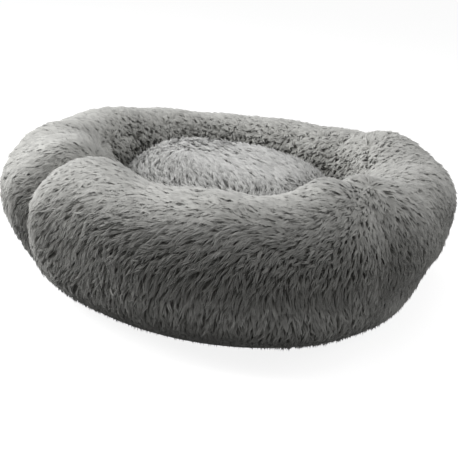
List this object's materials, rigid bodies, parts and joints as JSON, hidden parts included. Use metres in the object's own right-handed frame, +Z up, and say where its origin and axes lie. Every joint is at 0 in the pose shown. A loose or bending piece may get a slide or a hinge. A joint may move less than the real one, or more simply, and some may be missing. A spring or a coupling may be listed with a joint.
{
  "type": "donut pet bed",
  "caption": "Round plush pet bed: a thick filled rim round a well, a lift-out seat cushion, and a flat cloth base with a zip.",
  "frame": {"origin": "on the floor, under the middle of the bed", "axes": "+Z up, -Y towards the front of the bed as pictured, +X to its right, along the zip towards its closed end"},
  "size_m": [0.6126, 0.605, 0.1883],
  "materials": {
    "rim_plush": "matte",
    "cushion_plush": "matte",
    "non_woven": "matte",
    "fibre_filling": "matte",
    "base_cloth": "matte",
    "lining_cloth": "matte",
    "binding_tape": "matte",
    "zip_tape": "matte",
    "zip_coil": "satin",
    "zip_metal": "satin"
  },
  "bodies": {
    "root": {"rim_cover_panel_1": "rim_plush", "rim_cover_panel_2": "rim_plush", "rim_cover_panel_3": "rim_plush", "rim_cover_panel_4": "rim_plush", "rim_cover_panel_5": "rim_plush", "rim_cover_panel_6": "rim_plush", "rim_cover_panel_7": "rim_plush", "rim_cover_panel_8": "rim_plush", "rim_liner": "non_woven", "rim_filling": "fibre_filling", "base_panel_front": "base_cloth", "base_panel_rear": "base_cloth", "base_seam_binding": "binding_tape", "base_wadding": "fibre_filling", "floor_lining": "lining_cloth", "zip_tape_front": "zip_tape", "zip_tape_rear": "zip_tape", "zip_coil_front": "zip_coil", "zip_coil_rear": "zip_coil", "zip_top_stop_front": "zip_metal", "zip_top_stop_rear": "zip_metal", "zip_bottom_stop": "zip_metal"},
    "cushion": {"cushion_top_cover": "cushion_plush", "cushion_underside": "lining_cloth", "cushion_filling": "fibre_filling"},
    "slider": {"zip_slider": "zip_metal"},
    "pull": {"zip_pull": "zip_metal"}
  },
  "joints": [
    {"name": "cushion_lift", "type": "slide", "parent": "root", "child": "cushion", "axis": [0, 0, 1], "range_m": [0, 0.2]},
    {"name": "zip_slide", "type": "slide", "parent": "root", "child": "slider", "axis": [-1, 0, 0], "range_m": [0, 0.275]},
    {"name": "zip_pull_swing", "type": "hinge", "parent": "slider", "child": "pull", "pos_m": [0.141, 0, 0.00225], "axis": [0, -1, 0], "range_deg": [0, 175]}
  ]
}
